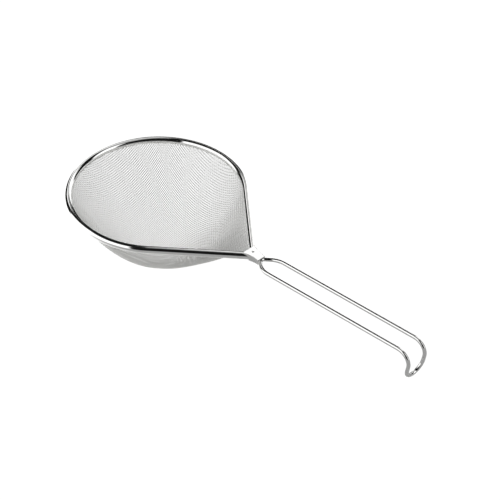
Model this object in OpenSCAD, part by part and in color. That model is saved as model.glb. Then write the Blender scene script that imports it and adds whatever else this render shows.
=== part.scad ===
// Tea strainer: a woven steel bowl in a teardrop rim, on a looped wire handle with a hook.
// Shapes are drawn with the rim level and the rim circle's centre at the origin, +X towards the
// hook. at_rest() then sets the strainer down as it lies on a table, on its bowl and its hook.

/* [Rim] */
// Radius of the rim's round part, to the centre of the wire
rim_r = 36; // [32:0.5:45]
// Distance from the rim's centre to the point where its two straight arms would meet
apex_x = 55; // [53:0.5:70]
// Outside diameter of the rolled binding
bead_d = 3; // [2.9:0.1:3.6]
// Thickness of the sheet that the binding is rolled from
bead_sheet = 0.28; // [0.2:0.02:0.28]

/* [Bowl] */
// Depth of the bowl below the rim's centre plane
bowl_depth = 30; // [15:0.5:40]
// Distance of the deepest point from the rim's centre, towards the handle
bowl_shift = 3.3; // [0:0.1:8]
// Shape of the wall under the round rim, where a lower number is steeper
side_power = 0.78; // [0.5:0.02:1.2]
// Shape of the wall under the pointed corner, where a higher number runs out flatter
corner_power = 2; // [1:0.05:3]
// How far the bowl bulges on its way to the pointed corner
corner_swell = 0.5; // [0:0.05:0.8]
// Thickness of the woven mesh, over two crossing wires
mesh_t = 0.38; // [0.2:0.02:0.38]

/* [Handle] */
// Diameter of the frame wire, which is both the rim's core and the handle
wire_d = 1.5; // [1.2:0.1:1.5]
// Distance between the centres of the handle's two legs
leg_gap = 9; // [8:0.5:14]
// Length of the legs from the neck to the start of the hook, along the handle
handle_len = 78.4; // [50:0.1:140]
// Rise of the handle out of the rim's plane, in degrees
handle_rise = 4.5; // [1:0.5:10]
// Turn of each leg where they spread behind the neck, in degrees
spread_turn = 36; // [30:1:50]
// Radius of the bend that makes the legs parallel again
spread_r = 9; // [4:0.5:9]

/* [Hook] */
// Radius of the bend that turns the handle down into the hook
hook_r = 5; // [3:0.1:10]
// Turn of the hook, in degrees
hook_turn = 104; // [60:1:130]
// Straight length of each leg between the hook's bend and its end loop
hook_len = 2.1; // [1:0.1:10]

/* [Neck] */
// Radius of the bend that brings each arm of the rim into line with the handle
neck_r = 3; // [2:0.5:4]
// Length over which the clip holds the two legs side by side
sleeve_len = 3.8; // [3:0.1:8]
// Length of the clip over the rim's two arms, in front of the point where they would meet
branch_len = 2.7; // [2.2:0.1:3.5]
// Width of the clip's front edge, which lies across the two arms
clip_w = 6.6; // [5.5:0.1:8]
// Radius of the hollow curve from the clip's front edge to its sleeve
clip_curve = 14; // [10:0.5:16]
// Thickness of the clip's sheet
clip_sheet = 0.36; // [0.3:0.02:0.6]

/* [Hidden] */
$fn = 96;

wire_r = wire_d / 2;
bead_r = bead_d / 2;
bore_r = bead_r - bead_sheet;

// The lengths that a wire or a bead is made of meet end to end, and a thin collar round each
// meeting makes them one solid
collar = 0.01;
collar_len = 0.1;

// The rim's round part ends at plus and minus tangent_a, where its straight arms start
tangent_a = acos(rim_r / apex_x);
apex_a = 90 - tangent_a;
apex_len = sqrt(apex_x * apex_x - rim_r * rim_r);

// Each arm bends into the neck beside the other, rises into the handle's plane, and spreads
neck_y = wire_r + 0.02;
rise_r = 10;
rise_in = rise_r * tan(handle_rise / 2);
out_r = 2.5;
arm_x = (rim_r + neck_r - (neck_y + neck_r) * sin(tangent_a)) / cos(tangent_a);
arm_len = arm_x * sin(tangent_a) - (neck_y + neck_r) * cos(tangent_a);
neck_x = arm_x + rise_in;
out_x = sleeve_len - 1;
spread_run = (leg_gap / 2 - neck_y - (out_r + spread_r) * (1 - cos(spread_turn))) / sin(spread_turn);
spread_x = out_x + (out_r + spread_r) * sin(spread_turn) + spread_run * cos(spread_turn);

// The wire's course from the back of the rim to its end loop, as [radius, turn, roll] for a
// bend and [length] for a straight. The roll is 0 to bend left, 180 right, 90 up and -90 down.
half_course = [
    [rim_r, 180 - tangent_a, 180],
    [arm_len],
    [neck_r, apex_a, 0],
    [rise_r, handle_rise, 90],
    [out_x - rise_in],
    [out_r, spread_turn, 0],
    [spread_run],
    [spread_r, spread_turn, 180],
    [handle_len - spread_x],
    [hook_r, hook_turn, -90],
    [hook_len]];
end_loop = [leg_gap / 2, 180, 180];
last_move = len(half_course) - 1;
course = concat(half_course, [end_loop], [for (i = [last_move:-1:0]) half_course[i]]);

// The mesh stands in the binding between the wire and the rolled sheet, and comes out below
seat_r = (wire_r + bore_r) / 2;
slot_w = mesh_t + 0.1;
mesh_top = 0.4;
mesh_bend = -0.9;
mesh_corner_r = 0.8;
mesh_corner_x = apex_x - (seat_r + mesh_corner_r) / sin(apex_a);
round_steps = 45;
arm_steps = 6;
corner_steps = 6;
depth_steps = 13;

// The binding's arms end inside the clip, just before they would touch
bead_len = apex_len - bead_r / tan(apex_a) - 0.1;
bead_end_x = apex_x - (apex_len - bead_len) * cos(apex_a) + bead_r * sin(apex_a);

// The clip is a folded sheet. Its top reaches forward over the arms, which leave through its two
// sides, its bottom starts behind their bound ends, and a small window is over the wires' meeting
clip_gap = 0.03;
clip_start_x = apex_x - branch_len;
clip_end_x = neck_x + sleeve_len;
sleeve_half = neck_y + wire_r;
flare = clip_w / 2 - sleeve_half - clip_sheet;
curve_x = clip_start_x + sqrt(2 * clip_curve * flare - flare * flare);
curve_y = sleeve_half + clip_sheet + clip_curve;
lip = 0.4;
window_x = apex_x - 1;
window_len = 1.1;
window_w = 1.1;

function polar(a, r) = [r * cos(a), r * sin(a)];
function blend(a, b, k) = (1 - k) * a + k * b;

// The mesh's edge in plan, moved outwards by out: the round part, an arm, the corner, an arm
function mesh_edge(out) =
    let (big = rim_r - seat_r + out)
    let (small = mesh_corner_r + out)
    let (corner = [mesh_corner_x, 0])
    concat(
        [for (i = [0:round_steps]) polar(tangent_a + (360 - 2 * tangent_a) * i / round_steps, big)],
        [for (i = [1:arm_steps - 1])
            blend(polar(-tangent_a, big), corner + polar(-tangent_a, small), i / arm_steps)],
        [for (i = [0:corner_steps]) corner + polar(tangent_a * (2 * i / corner_steps - 1), small)],
        [for (i = [1:arm_steps - 1])
            blend(corner + polar(tangent_a, small), polar(tangent_a, big), i / arm_steps)]);

// The bowl sinks from its edge to its deepest point. It is steep under the round rim. Where the
// edge is further away, under the corner, it bulges out below and runs flatter up to the edge.
deepest = [bowl_shift, 0];
near_edge = rim_r - seat_r - bowl_shift * cos(tangent_a);
far_edge = mesh_corner_x + mesh_corner_r - bowl_shift;
corner_onset = 1.15;
function extra(edge) = max(0, norm(edge - deepest) - near_edge);
function wall_power(edge) = side_power
    + (corner_power - side_power) * pow(extra(edge) / (far_edge - near_edge), corner_onset);
function plan_share(edge, k) = k + corner_swell * k * (1 - k * k) * extra(edge) / norm(edge - deepest);
function bowl_point(edge, k, depth) =
    let (p = blend(deepest, edge, plan_share(edge, k)))
    [p[0], p[1], mesh_bend - (depth + mesh_bend) * pow(max(0, 1 - k * k), wall_power(edge))];

// One face of the mesh shell, as rings from near the deepest point out to the top edge. side is
// 1 for the outer face and -1 for the inner one.
function mesh_face(side) =
    let (edge = mesh_edge(side * mesh_t / 2))
    concat(
        [for (i = [1:depth_steps])
            [for (p = edge) bowl_point(p, sin(90 * i / depth_steps), bowl_depth + side * mesh_t / 2)]],
        [[for (p = edge) [p[0], p[1], mesh_top]]]);

// The middle of the hook's bend and the end of its loop, in the plane y = 0
hook_mid = [neck_x, 0] + polar(handle_rise, handle_len) + polar(handle_rise - 90, hook_r);
hook_down = hook_turn - handle_rise;
hook_end = hook_mid + polar(90 - hook_down, hook_r) + polar(-hook_down, hook_len + leg_gap / 2);

// The strainer lies on its bowl and its hook. The tilt that brings both to one level is found
// in turns, because the bowl's lowest point moves as it tilts.
function level(p, tilt) = p[1] * cos(tilt) - p[0] * sin(tilt);
bowl_line = [for (i = [0:90])
    let (p = bowl_point([far_edge + bowl_shift, 0], i / 90, bowl_depth + mesh_t / 2))
    [p[0], p[2]]];
function bowl_base(tilt) = min([for (p = bowl_line) level(p, tilt)]);
function settle(tilt, turns) = turns == 0 ? tilt
    : settle(tilt + atan((level(hook_end, tilt) - wire_r - bowl_base(tilt)) / hook_end[0]), turns - 1);
rest_tilt = settle(8, 12);
back_x = -rim_r * cos(rest_tilt) - bead_r;
front_x = hook_mid[0] * cos(rest_tilt) + hook_mid[1] * sin(rest_tilt) + hook_r + wire_r;

module at_rest() {
    translate([-(back_x + front_x) / 2, 0, -bowl_base(rest_tilt)])
        rotate([0, rest_tilt, 0]) children();
}

module both_sides() {
    children();
    mirror([0, 1, 0]) children();
}

// Looks down the arm on the +Y side from where it leaves the round part, x outwards and y up
module down_the_arm() {
    rotate([0, 0, tangent_a]) translate([rim_r, 0, 0]) rotate([90, 0, 0]) children();
}

module wire_end() {
    rotate([0, 90, 0]) linear_extrude(collar_len, center = true) circle(r = wire_r + collar);
}

module straight(length) {
    union() {
        rotate([0, 90, 0]) cylinder(r = wire_r, h = length);
        translate([length, 0, 0]) wire_end();
    }
    translate([length, 0, 0]) children();
}

module left_bend(r, turn) {
    end = [r * sin(turn), r * (1 - cos(turn)), 0];
    union() {
        translate([0, r, 0]) rotate([0, 0, -90]) rotate_extrude(angle = turn)
            translate([r, 0]) circle(r = wire_r);
        translate(end) rotate([0, 0, turn]) wire_end();
    }
    translate(end) rotate([0, 0, turn]) children();
}

// The wire from move i of its course to the end of it, starting along +X
module wire(i = 0) {
    move = course[i];
    if (i < len(course)) {
        if (len(move) == 1) {
            straight(move[0]) wire(i + 1);
        } else {
            rotate([move[2], 0, 0]) left_bend(move[0], move[1]) rotate([-move[2], 0, 0]) wire(i + 1);
        }
    }
}

module frame_wire() {
    color("silver") at_rest() translate([-rim_r, 0, 0]) rotate([0, 0, 90]) wire();
}

// Section of the binding: a sheet rolled round the wire, open below for the mesh
module binding_section(grow = 0) {
    difference() {
        circle(r = bead_r + grow);
        circle(r = bore_r - grow);
        translate([-seat_r - slot_w / 2 + grow, -2 * bead_r]) square([slot_w - 2 * grow, 2 * bead_r]);
    }
}

module rim_binding() {
    color("gainsboro") at_rest() {
        union() {
            rotate([0, 0, tangent_a]) rotate_extrude(angle = 360 - 2 * tangent_a)
                translate([rim_r, 0]) binding_section();
            both_sides() down_the_arm()
                linear_extrude(collar_len, center = true) binding_section(collar);
        }
        both_sides() down_the_arm() linear_extrude(bead_len) binding_section();
    }
}

module mesh_bowl() {
    outer = mesh_face(1);
    inner = mesh_face(-1);
    rings = concat(outer, [for (i = [len(inner) - 1:-1:0]) inner[i]]);
    count = len(rings[0]);
    last = len(rings) - 1;
    poles = [for (side = [1, -1]) [bowl_shift, 0, -bowl_depth - side * mesh_t / 2]];
    function at(ring, i) = ring * count + i % count;
    color("lightgray") at_rest() polyhedron(
        points = concat([for (ring = rings) each ring], poles),
        faces = concat(
            [for (i = [0:count - 1]) [len(rings) * count, at(0, i), at(0, i + 1)]],
            [for (r = [0:last - 1], i = [0:count - 1]) [at(r, i), at(r + 1, i), at(r + 1, i + 1)]],
            [for (r = [0:last - 1], i = [0:count - 1]) [at(r, i), at(r + 1, i + 1), at(r, i + 1)]],
            [for (i = [0:count - 1]) [len(rings) * count + 1, at(last, i + 1), at(last, i)]]));
}

// Outline of the clip in plan at the distance t from the wires: from its front edge in a hollow
// curve to the width of the two legs side by side
module clip_plan(t, ends) {
    start_x = clip_start_x - ends;
    end_x = clip_end_x + ends;
    half = sleeve_half + t;
    curve_r = curve_y - half;
    front = curve_y - sqrt(curve_r * curve_r - (curve_x - start_x) * (curve_x - start_x));
    difference() {
        polygon([
            [start_x, front], [curve_x, half], [end_x, half],
            [end_x, -half], [curve_x, -half], [start_x, -front]]);
        translate([curve_x, curve_y]) circle(r = curve_r);
        translate([curve_x, -curve_y]) circle(r = curve_r);
    }
}

// The clip from the side, x along the handle and y up: level on the arms and under the wires, then
// sloping with the legs, which rise
module clip_profile(t, ends) {
    start_x = clip_start_x - ends;
    foot_x = bead_end_x + 2 * clip_gap - ends;
    end_rise = sleeve_len * tan(handle_rise);
    over = 1 + ends / (clip_end_x - apex_x);
    function slope_end(from, to) = blend([apex_x, from], [clip_end_x, to], over);
    polygon([
        [start_x, bead_r + t], [apex_x, bead_r + t],
        slope_end(bead_r + t, end_rise + wire_r + t), slope_end(-wire_r - t, end_rise - wire_r - t),
        [apex_x, -wire_r - t], [foot_x, -wire_r - t], [foot_x, 0], [start_x, bead_r - lip]]);
}

module clip_form(t, ends) {
    intersection() {
        linear_extrude(3 * bead_d, center = true) clip_plan(t, ends);
        rotate([90, 0, 0]) linear_extrude(6 * bead_d, center = true) clip_profile(t, ends);
    }
}

module neck_clip() {
    color("gainsboro") at_rest() difference() {
        clip_form(clip_sheet, 0);
        clip_form(clip_gap, 1);
        both_sides() down_the_arm()
            linear_extrude(bead_len + clip_gap) circle(r = bead_r + clip_gap);
        linear_extrude(bead_d)
            polygon([[window_x, 0], [window_x + window_len, window_w / 2],
                [window_x + window_len, -window_w / 2]]);
    }
}

frame_wire();
rim_binding();
mesh_bowl();
neck_clip();
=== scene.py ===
"""Tea strainer: the looks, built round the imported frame.

The frame wire, the rim's binding and the neck clip stay as packed and get their steel. A cloth
woven from wire tubes stands for the CAD's closed bowl. The studio is white to the camera, and a
dark room with softboxes to polished metal."""

import math

import bpy
import numpy as np
from mathutils import Matrix, Vector


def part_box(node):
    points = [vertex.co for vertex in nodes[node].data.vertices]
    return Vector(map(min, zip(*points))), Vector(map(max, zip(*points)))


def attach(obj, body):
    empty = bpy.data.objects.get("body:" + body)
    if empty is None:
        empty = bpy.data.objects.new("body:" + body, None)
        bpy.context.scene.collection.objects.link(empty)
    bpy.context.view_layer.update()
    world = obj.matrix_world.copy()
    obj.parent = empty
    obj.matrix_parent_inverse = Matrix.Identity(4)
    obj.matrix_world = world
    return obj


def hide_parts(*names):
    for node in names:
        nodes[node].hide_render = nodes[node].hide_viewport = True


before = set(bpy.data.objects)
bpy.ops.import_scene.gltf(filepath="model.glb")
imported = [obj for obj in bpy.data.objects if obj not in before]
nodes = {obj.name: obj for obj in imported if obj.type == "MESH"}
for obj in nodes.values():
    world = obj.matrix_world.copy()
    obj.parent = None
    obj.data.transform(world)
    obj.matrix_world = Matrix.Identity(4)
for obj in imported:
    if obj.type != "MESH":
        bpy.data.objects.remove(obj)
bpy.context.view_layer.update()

MM = 0.001
TINY = 1e-9  # the least divisor, so that nothing is divided by zero

# ---------------------------------------------------------------- sizes, as in the CAD source
APEX = 55 * MM  # from the rim's centre to where its straight arms would meet
BEAD_R = 1.5 * MM  # outside of the rolled binding
CORE_R = 0.75 * MM  # the frame wire in it
SHEET = 0.28 * MM  # what the binding is rolled from
BOWL_DEPTH = 30 * MM
BOWL_SHIFT = 3.3 * MM  # from the rim's centre to the bowl's deepest point
SIDE_POWER = 0.78  # the wall under the round rim, where a lower number is steeper
CORNER_POWER = 2.0  # the wall under the pointed corner, where a higher one runs out flatter
CORNER_ONSET = 1.15  # how late the first turns into the second
CORNER_SWELL = 0.5  # how far the bowl bulges on its way to the corner
MESH_EDGE_Z = -0.9 * MM  # where the cloth meets the binding's slot
MESH_CORNER_R = 0.8 * MM


# ---------------------------------------------------------------- the rim's own frame
def coords(node):
    """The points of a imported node."""
    data = nodes[node].data
    found = np.empty(len(data.vertices) * 3)
    data.vertices.foreach_get("co", found)
    return found.reshape(-1, 3)


def rim_frame():
    """The rim's place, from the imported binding: a matrix out of the rim's level frame, and the
    radius of its round part. The binding is flat and the same above and below its own plane, so
    its points spread least straight up from that plane."""
    points = coords("rim_binding")
    centred = points - points.mean(axis=0)
    up = np.linalg.svd(centred, full_matrices=False)[2][2]
    up = up if up[2] > 0 else -up
    tilt = math.atan2(up[0], up[2])
    low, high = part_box("rim_binding")
    radius = high.y - BEAD_R
    farthest = Vector((low.x + BEAD_R, 0, high.z - BEAD_R))
    centre = farthest + radius * Vector((math.cos(tilt), 0, -math.sin(tilt)))
    return Matrix.Translation(centre) @ Matrix.Rotation(tilt, 4, "Y"), radius


from_rim, RIM_R = rim_frame()
rim_turn = np.array(from_rim.to_3x3())
rim_place = np.array(from_rim.translation)


def placed(points):
    """Points of the rim's frame, in the row's frame."""
    return np.asarray(points) @ rim_turn.T + rim_place


# ---------------------------------------------------------------- the bowl's surface
SHARE_STEPS = 8  # Newton steps to a point's share of the bowl's section
SLOPE_STEP = 0.02 * MM  # to either side of a point, for the slope there

tangent = math.acos(RIM_R / APEX)
seat_r = (CORE_R + BEAD_R - SHEET) / 2
edge_r = RIM_R - seat_r
corner_x = APEX - (seat_r + MESH_CORNER_R) / math.cos(tangent)
near_edge = edge_r - BOWL_SHIFT * math.cos(tangent)
far_edge = corner_x + MESH_CORNER_R - BOWL_SHIFT


def ray_to_circle(dx, centre_x, radius):
    """Distance from the deepest point, along unit directions, to the far side of a circle round
    a point of the strainer's middle line."""
    offset = BOWL_SHIFT - centre_x
    along = offset * dx
    inside = np.maximum(along**2 - offset**2 + radius**2, 0)
    return np.sqrt(inside) - along


def edge_distance(dx, dy):
    """Distance from the deepest point, along unit directions, to the cloth's edge in plan."""
    to_round = ray_to_circle(dx, 0, edge_r)
    on_round = np.arctan2(np.abs(dy) * to_round, BOWL_SHIFT + dx * to_round) >= tangent
    outwards = np.cos(tangent) * dx + np.sin(tangent) * np.abs(dy)
    to_arm = (edge_r - np.cos(tangent) * BOWL_SHIFT) / np.maximum(outwards, TINY)
    to_corner = ray_to_circle(dx, corner_x, MESH_CORNER_R)
    corner_turn = np.arctan2(np.abs(dy) * to_corner, BOWL_SHIFT + dx * to_corner - corner_x)
    to_front = np.where(corner_turn < tangent, to_corner, to_arm)
    return np.where(on_round, to_round, to_front)


def bowl_height(x, y):
    """Share of the way from the deepest point to the edge in plan, and the height there, for
    points of the rim's frame. The bowl is steep under the round rim. Where the edge is further
    away, under the corner, it bulges out below and runs flatter up to the edge."""
    dx, dy = x - BOWL_SHIFT, y
    r = np.maximum(np.hypot(dx, dy), TINY)
    edge = edge_distance(dx / r, dy / r)
    extra = np.maximum(0, edge - near_edge)
    swell = CORNER_SWELL * extra
    k = r / edge
    for _ in range(SHARE_STEPS):
        miss = k * (edge + swell * (1 - k**2)) - r
        k = k - miss / (edge + swell * (1 - 3 * k**2))
    cornered = (extra / (far_edge - near_edge)) ** CORNER_ONSET
    power = SIDE_POWER + (CORNER_POWER - SIDE_POWER) * cornered
    depth = BOWL_DEPTH + MESH_EDGE_Z
    return r / edge, MESH_EDGE_Z - depth * np.maximum(0, 1 - k**2) ** power


def bowl_normal(x, y):
    """Upward directions at right angles to the bowl, in the rim's frame."""
    def rise(x_step, y_step):
        ahead = bowl_height(x + x_step, y + y_step)[1]
        behind = bowl_height(x - x_step, y - y_step)[1]
        return (ahead - behind) / (2 * SLOPE_STEP)

    normal = np.stack([-rise(SLOPE_STEP, 0), -rise(0, SLOPE_STEP), np.ones_like(x)], axis=-1)
    return normal / np.linalg.norm(normal, axis=-1, keepdims=True)


# ---------------------------------------------------------------- mesh making
def make_mesh(name, points, faces, material, smooth=True):
    data = bpy.data.meshes.new(name)
    data.from_pydata(points, [], faces)
    data.materials.append(material)
    data.polygons.foreach_set("use_smooth", [smooth] * len(data.polygons))
    data.update()
    made = bpy.data.objects.new(name, data)
    bpy.context.scene.collection.objects.link(made)
    return made


def tube(route, normals, radius, sides):
    """Rings round a route and the faces between them, closed at both ends."""
    ahead = np.gradient(route, axis=0)
    ahead /= np.linalg.norm(ahead, axis=1, keepdims=True)
    across = np.cross(ahead, normals)
    across /= np.linalg.norm(across, axis=1, keepdims=True)
    out = np.cross(across, ahead)
    turn = 2 * math.pi * np.arange(sides) / sides
    ring = (
        np.cos(turn)[None, :, None] * across[:, None, :]
        + np.sin(turn)[None, :, None] * out[:, None, :]
    )
    points = (route[:, None, :] + radius * ring).reshape(-1, 3)
    count = len(route)
    faces = []
    for i in range(count - 1):
        for j in range(sides):
            a, b = i * sides + j, i * sides + (j + 1) % sides
            faces.append((a, b, b + sides, a + sides))
    faces.append(tuple(range(sides))[::-1])
    faces.append(tuple(range((count - 1) * sides, count * sides)))
    return points, faces


# ---------------------------------------------------------------- materials
BLOTCH_DETAIL, MARK_DETAIL = 3.0, 2.0  # octaves of noise in the mottle and in the drawing marks
BLOTCH_COARSER = 6  # times the drawing marks' size
BRIGHTEST, DULLEST = 0.75, 1.3  # times the roughness, where the polish is uneven
MARK_DEPTH = 0.1 * MM  # of the drawing marks, before bump weakens them
BEVEL_SAMPLES = 8


def node_maker(tree):
    def add(kind, *inputs, **settings):
        """A node with its settings, and with its inputs, in order, from other nodes' sockets or
        from values. None leaves an input as it is."""
        node = tree.nodes.new("ShaderNode" + kind)
        for key, value in settings.items():
            setattr(node, key, value)
        for socket, value in zip(node.inputs, inputs):
            if isinstance(value, bpy.types.NodeSocket):
                tree.links.new(value, socket)
            elif value is not None:
                socket.default_value = value
        return node.outputs
    return add


def steel(name, tone, roughness, mottle=0.03, bump=0.02, grain=900.0, fold=0.0):
    """Stainless steel with a faint mottle in its tone and an uneven polish. bump is the strength
    of its drawing marks and grain their fineness. fold is the radius that its bent edges are seen
    to have."""
    made = bpy.data.materials.new(name)
    made.use_nodes = True
    tree = made.node_tree
    add = node_maker(tree)
    shader = tree.nodes["Principled BSDF"]
    shader.inputs["Metallic"].default_value = 1.0
    where = add("TexCoord")["Object"]
    blotch = add("TexNoise", where, None, grain / BLOTCH_COARSER, BLOTCH_DETAIL)["Fac"]
    low = [c * (1 - mottle) for c in tone] + [1]
    high = [min(1, c * (1 + mottle)) for c in tone] + [1]
    skipped = [None] * 5  # between the mix's factor and its two colours
    colour = add("Mix", blotch, *skipped, low, high, data_type="RGBA")[2]
    tree.links.new(colour, shader.inputs["Base Color"])
    polish = add("MapRange", blotch, 0.0, 1.0, roughness * BRIGHTEST, roughness * DULLEST)
    tree.links.new(polish["Result"], shader.inputs["Roughness"])
    if bump:
        marks = add("TexNoise", where, None, grain, MARK_DETAIL)["Fac"]
        raised = add("Bump", bump, MARK_DEPTH)["Normal"]
        tree.links.new(marks, raised.node.inputs["Height"])
        if fold:
            rounded = add("Bevel", fold, samples=BEVEL_SAMPLES)["Normal"]
            tree.links.new(rounded, raised.node.inputs["Normal"])
        tree.links.new(raised, shader.inputs["Normal"])
    return made


wire_steel = steel("wire_steel", (0.80, 0.80, 0.79), 0.07)
sheet_steel = steel("sheet_steel", (0.82, 0.82, 0.81), 0.07, grain=700.0)
clip_steel = steel("clip_steel", (0.80, 0.80, 0.79), 0.1, grain=1100.0, fold=0.25 * MM)
mesh_steel = steel("mesh_steel", (0.62, 0.62, 0.605), 0.40, mottle=0.06, bump=0)


def dress(node, material):
    """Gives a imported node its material."""
    data = nodes[node].data
    data.materials.clear()
    data.materials.append(material)


dress("frame_wire", wire_steel)
dress("rim_binding", sheet_steel)
dress("neck_clip", clip_steel)

# ---------------------------------------------------------------- the woven bowl
PITCH = 0.672 * MM
MESH_WIRE_R = 0.095 * MM
DRAW_IN = 0.09  # how much of the flat cloth the pressing pulled in, at the rim
PRESS_STEPS = 12  # Newton steps to a pressed point's distance from the deepest point
SPARE_WIRES = 2  # beyond the cloth's reach, so that none is missed
WIRE_SIDES = 6
RINGS_PER_PITCH = 2
END_RINGS = 4  # ever closer rings at each end of a wire, where the bowl is steepest
END_ROOM = 0.3  # least room from a wire's end to its even rings, as a share of their step
CLOSEST_RINGS = 0.02  # as a share of the same step
FEWEST_STEPS = 3  # a shorter wire is left out
EDGE_SAMPLES = 1601  # along a wire, to find the stretch of it that is inside the cloth's edge
FEWEST_INSIDE = 4  # of those samples
EDGE_HALVINGS = 25
NORMALS_WITHIN = 0.998  # of the way to the edge, because the surface has a kink there


def pressed(across, along, turn):
    """Plan position of points of the flat cloth, which the pressing pulled in towards the
    deepest point."""
    flat = np.hypot(across, along)
    r = flat.copy()
    for _ in range(PRESS_STEPS):
        drawn = DRAW_IN * (r / RIM_R) ** 2
        r -= (r * (1 + drawn) - flat) / (1 + 3 * drawn)
    scale = r / np.maximum(flat, TINY)
    way = np.array([math.cos(turn), math.sin(turn)])
    side = np.array([-way[1], way[0]])
    spots = (along * scale)[:, None] * way + (across * scale)[:, None] * side
    return spots + [BOWL_SHIFT, 0]


def inside_edge(line, along, turn):
    """Which points of one of the cloth's wires are inside the cloth's edge."""
    spots = pressed(np.full(len(along), line), along, turn)
    return bowl_height(spots[:, 0], spots[:, 1])[0] < 1


def wire_ends(line, turn, reach):
    """Where one of the cloth's wires meets the cloth's edge, as lengths along the wire."""
    steps = np.linspace(-reach, reach, EDGE_SAMPLES)
    inside = inside_edge(line, steps, turn)
    if inside.sum() < FEWEST_INSIDE:
        return None
    first, last = np.argmax(inside), len(steps) - 1 - np.argmax(inside[::-1])
    ends = []
    for index, beyond in ((first, first - 1), (last, last + 1)):
        near, far = steps[index], steps[beyond]
        for _ in range(EDGE_HALVINGS):
            middle = (near + far) / 2
            if inside_edge(line, np.array([middle]), turn)[0]:
                near = middle
            else:
                far = middle
        ends.append(near)
    return ends


def ring_places(low, high):
    """Lengths along a wire where its tube has a ring, from one end of the wire to the other."""
    step = PITCH / RINGS_PER_PITCH
    first, last = math.ceil(low / step + END_ROOM), math.floor(high / step - END_ROOM)
    if last - first < FEWEST_STEPS:
        return None
    inner = np.arange(first, last + 1) * step
    closer = step * 0.5 ** np.arange(1, END_RINGS + 1)
    along = np.unique(np.concatenate([[low], low + closer, inner, high - closer, [high]]))
    return along[np.concatenate([[True], np.diff(along) > step * CLOSEST_RINGS])]


def wire_route(line, along, turn, lift):
    """A wire's centre line and the bowl's normals along it, in the rim's frame. lift is 1 or -1,
    and the wires beside it have the other one."""
    spots = pressed(np.full(len(along), line), along, turn)
    share, height = bowl_height(spots[:, 0], spots[:, 1])
    keep = np.minimum(1, NORMALS_WITHIN / np.maximum(share, TINY))[:, None]
    held = np.array([BOWL_SHIFT, 0]) + (spots - [BOWL_SHIFT, 0]) * keep
    normals = bowl_normal(held[:, 0], held[:, 1])
    crimp = lift * np.cos(math.pi * (along / PITCH - 0.5))
    route = np.column_stack([spots, height]) + MESH_WIRE_R * crimp[:, None] * normals
    return route, normals


def wire_family(name, turn, over, side):
    """The wires of a plain weave that run one way, each over and under the wires that cross it,
    on one side of the bowl. turn is the way they run, over is opposite for the two ways that
    cross each other, and side is 1 or -1."""
    points, faces, base = [], [], 0
    reach = (far_edge + BOWL_SHIFT) * (1 + 2 * DRAW_IN)  # past the corner, with cloth to spare
    count = int(reach / PITCH) + SPARE_WIRES
    numbers = range(0, count) if side > 0 else range(-count, 0)
    for number in numbers:
        line = (number + 0.5) * PITCH
        ends = wire_ends(line, turn, reach)
        along = ring_places(*ends) if ends else None
        if along is None:
            continue
        route, normals = wire_route(line, along, turn, over * (-1) ** number)
        made, joined = tube(placed(route), normals @ rim_turn.T, MESH_WIRE_R, WIRE_SIDES)
        points.append(made)
        faces += [tuple(base + i for i in face) for face in joined]
        base += len(made)
    return make_mesh(name, np.concatenate(points).tolist(), faces, mesh_steel)


ALONG, ACROSS = 0, math.pi / 2  # to the handle
for name, turn, over, side in (
        ("warp_wires_left", ALONG, 1, 1), ("warp_wires_right", ALONG, 1, -1),
        ("weft_wires_back", ACROSS, -1, 1), ("weft_wires_front", ACROSS, -1, -1)):
    family = wire_family(name, turn, over, side)
    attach(family, "root")
    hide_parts("mesh_bowl")

# ---------------------------------------------------------------- camera
# Fitted to the rim and the handle in the photograph, in the rim's frame
CAMERA_AZIMUTH = math.radians(44.275)  # from the -Y side, towards +X
CAMERA_HEIGHT = math.radians(39.947)
CAMERA_ROLL = math.radians(1.115)
CAMERA_DISTANCE = 0.7302
LENS_MM = 134.86
AIM = Vector((APEX, 0, 0))
AIM_ACROSS, AIM_UP = -1.33 * MM, 2.25 * MM  # from there to the middle of the picture


def make_camera():
    """The camera, placed in the rim's frame and then moved with it."""
    back = Vector((
        math.sin(CAMERA_AZIMUTH) * math.cos(CAMERA_HEIGHT),
        -math.cos(CAMERA_AZIMUTH) * math.cos(CAMERA_HEIGHT),
        math.sin(CAMERA_HEIGHT)))
    level_right = Vector((math.cos(CAMERA_AZIMUTH), math.sin(CAMERA_AZIMUTH), 0))
    level_up = back.cross(level_right)
    right = math.cos(CAMERA_ROLL) * level_right + math.sin(CAMERA_ROLL) * level_up
    up = math.cos(CAMERA_ROLL) * level_up - math.sin(CAMERA_ROLL) * level_right
    place = AIM + AIM_ACROSS * right + AIM_UP * up + CAMERA_DISTANCE * back
    data = bpy.data.cameras.new("camera")
    data.lens = LENS_MM
    camera = bpy.data.objects.new("camera", data)
    bpy.context.scene.collection.objects.link(camera)
    camera.matrix_world = from_rim @ Matrix((
        (right.x, up.x, back.x, place.x),
        (right.y, up.y, back.y, place.y),
        (right.z, up.z, back.z, place.z),
        (0, 0, 0, 1)))
    bpy.context.scene.camera = camera


make_camera()
bpy.context.scene.view_settings.view_transform = "Standard"

# ---------------------------------------------------------------- floor
# Level directions of the row's frame, with the camera's azimuth
AHEAD = (-math.sin(CAMERA_AZIMUTH), math.cos(CAMERA_AZIMUTH), 0)
RIGHTWARDS = (math.cos(CAMERA_AZIMUTH), math.sin(CAMERA_AZIMUTH), 0)

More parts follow.
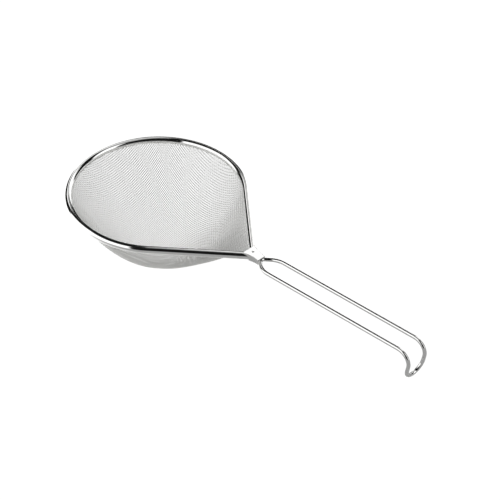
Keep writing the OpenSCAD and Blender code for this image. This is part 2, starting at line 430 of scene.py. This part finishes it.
FLOOR_HALF = 3.0  # metres, half its width
FLOOR_PALE, FLOOR_FLECK = 0.92, 0.01
FLOOR_ROUGHNESS = 0.9
FLOOR_SHINE = 0.1
FLOOR_GLOW = 0.78
NEAR_GLOW, FAR_GLOW = 0.13, 1.1  # what metal sees of it, in front of the bowl and behind it
FAR_STARTS, FAR_REACHED = 0.0, 0.05  # metres behind the row's origin
FAR_TURN = math.radians(14)  # the way it gets brighter, to the left of straight ahead
FARWARDS = tuple(
    math.cos(FAR_TURN) * a - math.sin(FAR_TURN) * r for a, r in zip(AHEAD, RIGHTWARDS))


def make_floor():
    """A pale light table, which glows evenly so that the shadow on it stays faint. Metal sees it
    brighter behind the strainer, like a sweep that is lit from behind."""
    corners = [(-FLOOR_HALF, -FLOOR_HALF, 0), (FLOOR_HALF, -FLOOR_HALF, 0),
               (FLOOR_HALF, FLOOR_HALF, 0), (-FLOOR_HALF, FLOOR_HALF, 0)]
    paint = bpy.data.materials.new("floor_paint")
    paint.use_nodes = True
    tree = paint.node_tree
    add = node_maker(tree)
    shader = tree.nodes["Principled BSDF"]
    spot = add("TexCoord")["Object"]
    fleck = add("TexNoise", spot)["Fac"]
    darker, paler = FLOOR_PALE - FLOOR_FLECK, FLOOR_PALE + FLOOR_FLECK
    pale = add("MapRange", fleck, 0.0, 1.0, darker, paler)["Result"]
    tree.links.new(pale, shader.inputs["Base Color"])
    shader.inputs["Roughness"].default_value = FLOOR_ROUGHNESS
    shader.inputs["Specular IOR Level"].default_value = FLOOR_SHINE
    shader.inputs["Emission Color"].default_value = (1, 1, 1, 1)
    glossy = add("LightPath")["Is Glossy Ray"]
    behind = add("VectorMath", spot, FARWARDS, operation="DOT_PRODUCT")["Value"]
    in_metal = add("MapRange", behind, FAR_STARTS, FAR_REACHED, NEAR_GLOW, FAR_GLOW)["Result"]
    glow = add("MapRange", glossy, 0.0, 1.0, FLOOR_GLOW, in_metal)["Result"]
    tree.links.new(glow, shader.inputs["Emission Strength"])
    make_mesh("floor", corners, [(0, 1, 2, 3)], paint, smooth=False)


make_floor()

# ---------------------------------------------------------------- light
BACKDROP = 1.05  # what the camera sees
EVEN = 0.3  # what lights the floor from all round
ROOM = 0.01  # what metal sees between the softboxes

# What metal sees: softboxes as their middle and half-width in degrees to the right of straight
# ahead, their lowest and highest edges in degrees above the floor, their edges' blur and light
SOFTBOXES = (
    ("behind, right, high", 16, 12, 42, 62, 4, 1.4),
    ("behind, right", 37, 14, -2, 46, 6, 1.4),
    ("behind, left, high", -22, 9, 38, 50, 4, 1.4),
    ("behind, left", -15, 9, -2, 40, 4, 1.3),
    ("left", -110, 44, -8, 62, 6, 1.4),
    ("right", 108, 17, -8, 52, 6, 1.4),
    ("overhead, right", 70, 60, 60, 100, 8, 0.5),
)


def make_studio():
    """Even white light for the floor. Polished metal shows softboxes in a dark room instead."""
    world = bpy.data.worlds.new("studio")
    bpy.context.scene.world = world
    world.use_nodes = True
    tree = world.node_tree
    add = node_maker(tree)
    toward = add("TexCoord")["Generated"]
    ahead = add("VectorMath", toward, AHEAD, operation="DOT_PRODUCT")["Value"]
    aside = add("VectorMath", toward, RIGHTWARDS, operation="DOT_PRODUCT")["Value"]
    azimuth = add("Math", aside, ahead, operation="ARCTAN2")["Value"]
    height = add("SeparateXYZ", toward)["Z"]
    elevation = add("Math", height, operation="ARCSINE")["Value"]

    def away(angle, middle):
        offset = add("Math", angle, math.radians(middle), operation="SUBTRACT")["Value"]
        turned = add("Math", offset, math.pi, -math.pi, operation="WRAP")["Value"]
        return add("Math", turned, operation="ABSOLUTE")["Value"]

    def window(angle, middle, half, blur):
        """1 near the middle angle and 0 past the half-width, with a soft edge."""
        inner, outer = math.radians(half - blur / 2), math.radians(half + blur / 2)
        faded = add("MapRange", away(angle, middle), inner, outer, 1.0, 0.0,
                    interpolation_type="SMOOTHSTEP")
        return faded["Result"]

    lit = ROOM
    for _, middle, half, low, high, blur, light in SOFTBOXES:
        across = window(azimuth, middle, half, blur)
        upright = window(elevation, (low + high) / 2, (high - low) / 2, blur)
        share = add("Math", across, upright, operation="MULTIPLY")["Value"]
        box = add("Math", share, light, operation="MULTIPLY")["Value"]
        lit = add("Math", lit, box, operation="MAXIMUM")["Value"]
    ray = add("LightPath")
    plain = add("MapRange", ray["Is Camera Ray"], 0.0, 1.0, EVEN, BACKDROP)["Result"]
    strength = add("MapRange", ray["Is Glossy Ray"], 0.0, 1.0, plain, lit)["Result"]
    background = tree.nodes["Background"]
    tree.links.new(strength, background.inputs["Strength"])
    background.inputs["Color"].default_value = (1, 1, 1, 1)


make_studio()
